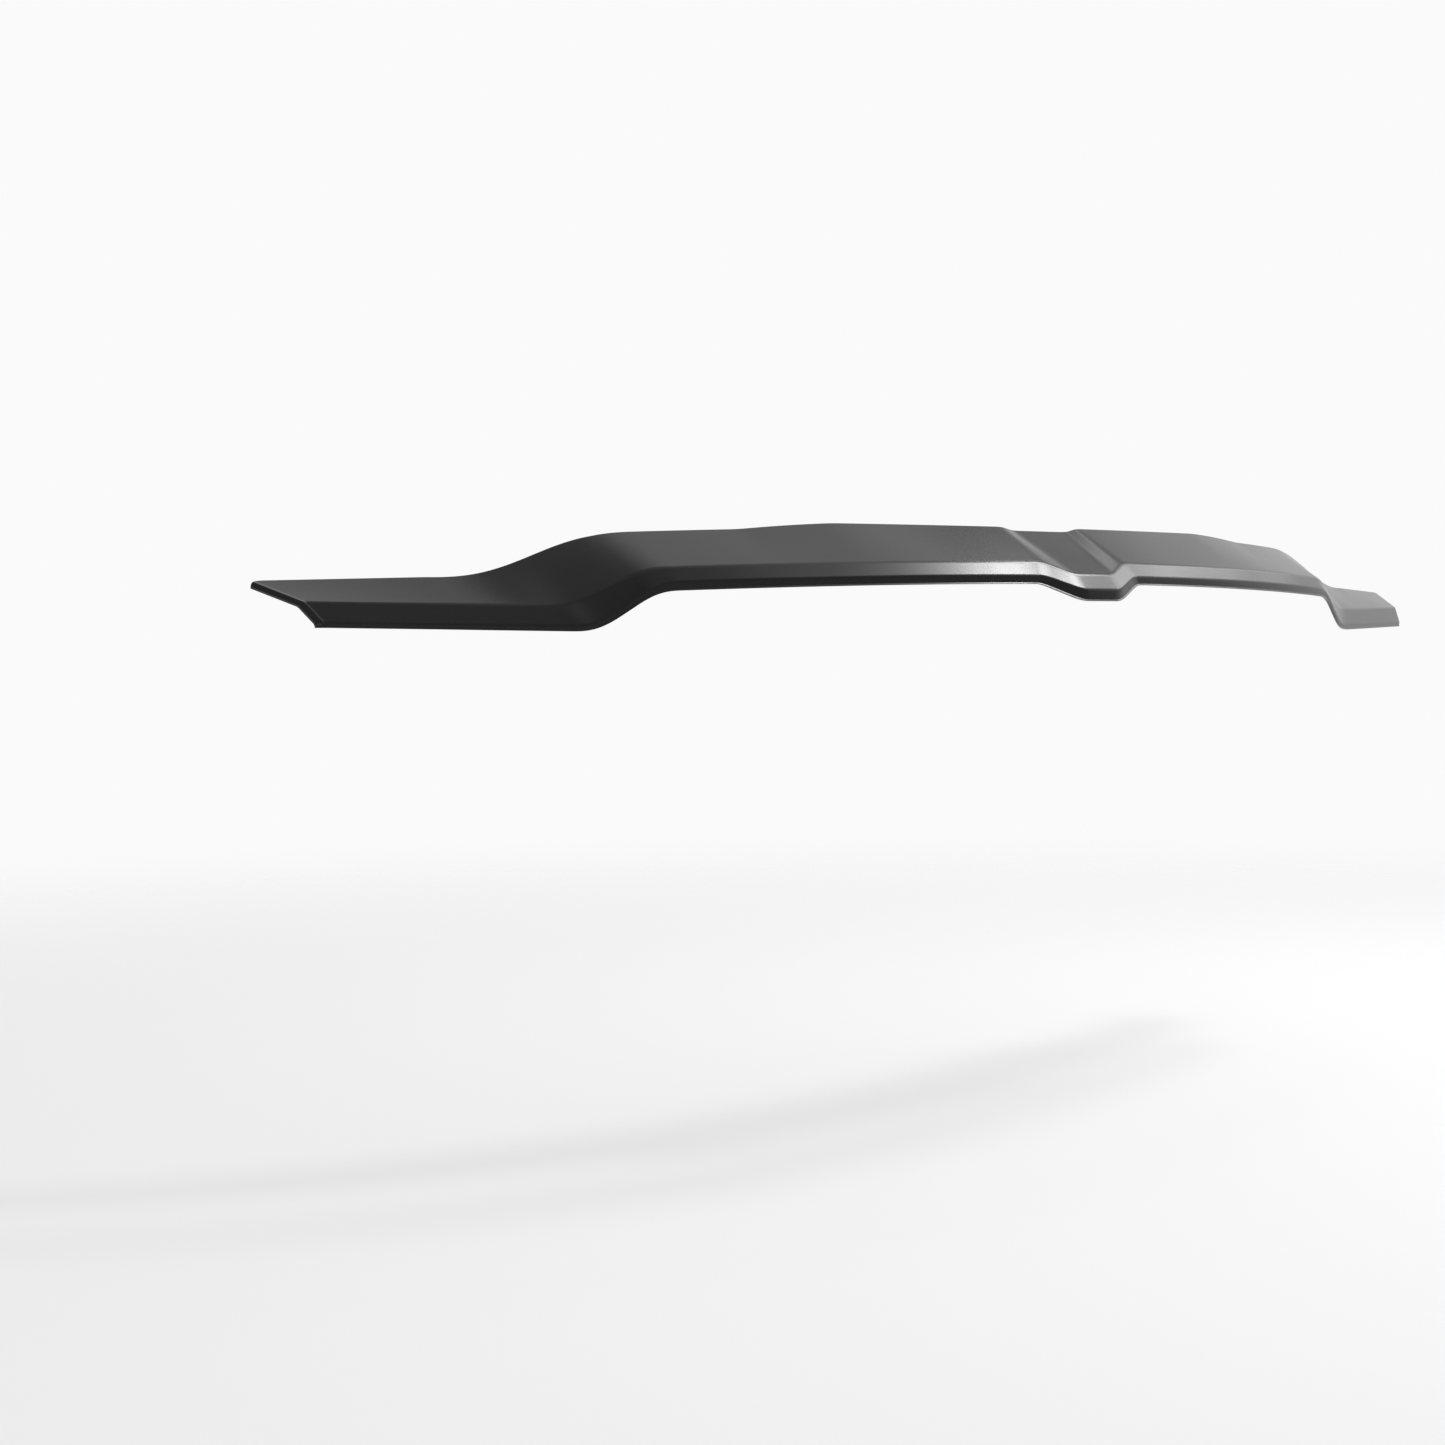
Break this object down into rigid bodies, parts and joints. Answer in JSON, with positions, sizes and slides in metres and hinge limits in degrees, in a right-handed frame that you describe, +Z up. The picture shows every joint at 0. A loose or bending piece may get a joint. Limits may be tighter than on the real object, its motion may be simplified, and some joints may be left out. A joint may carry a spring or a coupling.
{
  "type": "hood bug deflector",
  "caption": "Low moulded hood deflector that wraps the hood's leading edge, with stepped shoulders, swept wings and a dropped middle nose, held by foam tape.",
  "frame": {"origin": "on the middle plane, on the line of the front ridge as it runs on either side of the nose, where the hood's leading edge lies under the shell", "axes": "+X along the deflector, -Y to the front of the vehicle, +Z up, as it is fitted"},
  "size_m": [1.6206, 0.3168, 0.1096],
  "materials": {
    "shell": "satin black moulded acrylic",
    "foam_tape": "matt closed-cell foam"
  },
  "bodies": {
    "root": {"hood_shield": "shell", "tape_front_inner_left": "foam_tape", "tape_front_inner_right": "foam_tape", "tape_front_outer_left": "foam_tape", "tape_front_outer_right": "foam_tape", "tape_front_wing_left": "foam_tape", "tape_front_wing_right": "foam_tape", "tape_nose_front": "foam_tape", "tape_nose_rear": "foam_tape", "tape_rear_inner_left": "foam_tape", "tape_rear_inner_right": "foam_tape", "tape_rear_outer_left": "foam_tape", "tape_rear_outer_right": "foam_tape", "tape_rear_wing_left": "foam_tape", "tape_rear_wing_right": "foam_tape"}
  },
  "joints": []
}
